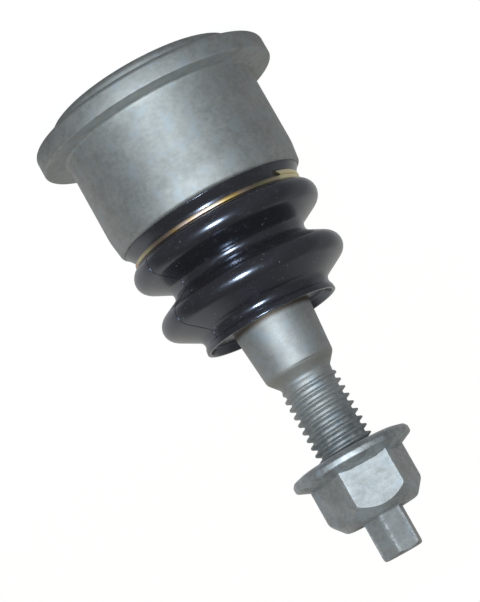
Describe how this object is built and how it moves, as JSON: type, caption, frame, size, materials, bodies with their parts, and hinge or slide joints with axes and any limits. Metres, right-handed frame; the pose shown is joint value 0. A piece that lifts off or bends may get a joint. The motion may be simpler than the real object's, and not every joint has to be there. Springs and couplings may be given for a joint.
{
  "type": "suspension ball joint",
  "caption": "Press-in suspension ball joint with a flanged barrel, bellows boot, tapered stud with hexagon drive, and a flange nut.",
  "frame": {"origin": "centre of the ball, on the axis of the press-fit barrel", "axes": "+Z along the barrel's axis, from the rolled lip towards the threaded end of the stud; X and Y lie in the plane through the ball centre"},
  "size_m": [0.0602, 0.0602, 0.125],
  "materials": {
    "housing_steel": "zinc plated, satin",
    "stud_steel": "zinc plated, fine satin",
    "nut_steel": "zinc plated, slightly coarse",
    "cover_steel": "pressed sheet, satin",
    "spring_steel": "hardened, dark",
    "clamp_wire": "yellow passivated flat wire",
    "boot_rubber": "smooth, glossy black",
    "seat_polymer": "natural acetal"
  },
  "bodies": {
    "housing": {"housing": "housing_steel", "cover_plate": "cover_steel", "disc_spring": "spring_steel", "thrust_plate": "spring_steel", "boot": "boot_rubber", "boot_clamp_ring": "clamp_wire"},
    "ball_seat": {"seat_lower": "seat_polymer", "seat_upper": "seat_polymer"},
    "boot_end": {"boot_end_ring": "spring_steel"},
    "stud": {"ball_stud": "stud_steel"},
    "nut": {"flange_nut": "nut_steel"}
  },
  "joints": [
    {"name": "swing_plane", "type": "hinge", "parent": "housing", "child": "ball_seat", "pos_m": [0, 0, 0], "axis": [0, 0, 1], "continuous": true},
    {"name": "swing", "type": "hinge", "parent": "ball_seat", "child": "boot_end", "pos_m": [0, 0, 0], "axis": [0, 1, 0], "range_deg": [-25, 25], "deforming": ["boot"]},
    {"name": "stud_spin", "type": "hinge", "parent": "boot_end", "child": "stud", "pos_m": [0, 0, 0], "axis": [0, 0, 1], "continuous": true},
    {"name": "nut_travel", "type": "slide", "parent": "stud", "child": "nut", "axis": [0, 0, 1], "range_m": [-0.016, 0.014]}
  ]
}
